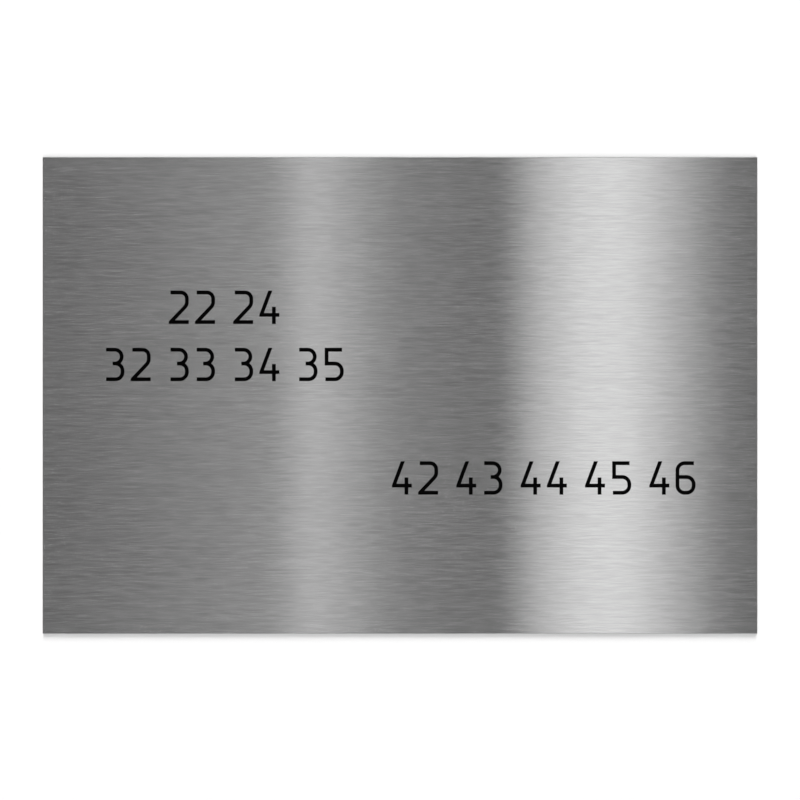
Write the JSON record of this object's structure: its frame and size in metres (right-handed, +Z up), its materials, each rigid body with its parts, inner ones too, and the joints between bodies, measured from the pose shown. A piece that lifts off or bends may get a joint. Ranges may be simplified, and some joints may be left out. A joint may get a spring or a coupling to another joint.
{
  "type": "stainless steel sign plate",
  "caption": "Flat rectangular brushed stainless steel sign plate with engraved, black-filled numbers on its front and a plain back for sticking to a wall or door.",
  "frame": {"origin": "middle of the plate's back face, where it meets the wall", "axes": "+X to the reader's right along the long side, +Y out of the back face into the wall, +Z up; the front faces -Y"},
  "size_m": [0.15, 0.0015, 0.1],
  "materials": {
    "brushed_steel": "brushed lengthwise",
    "black_enamel": "matt"
  },
  "bodies": {
    "root": {"sign_plate": "brushed_steel", "numeral_infill": "black_enamel"}
  },
  "joints": []
}
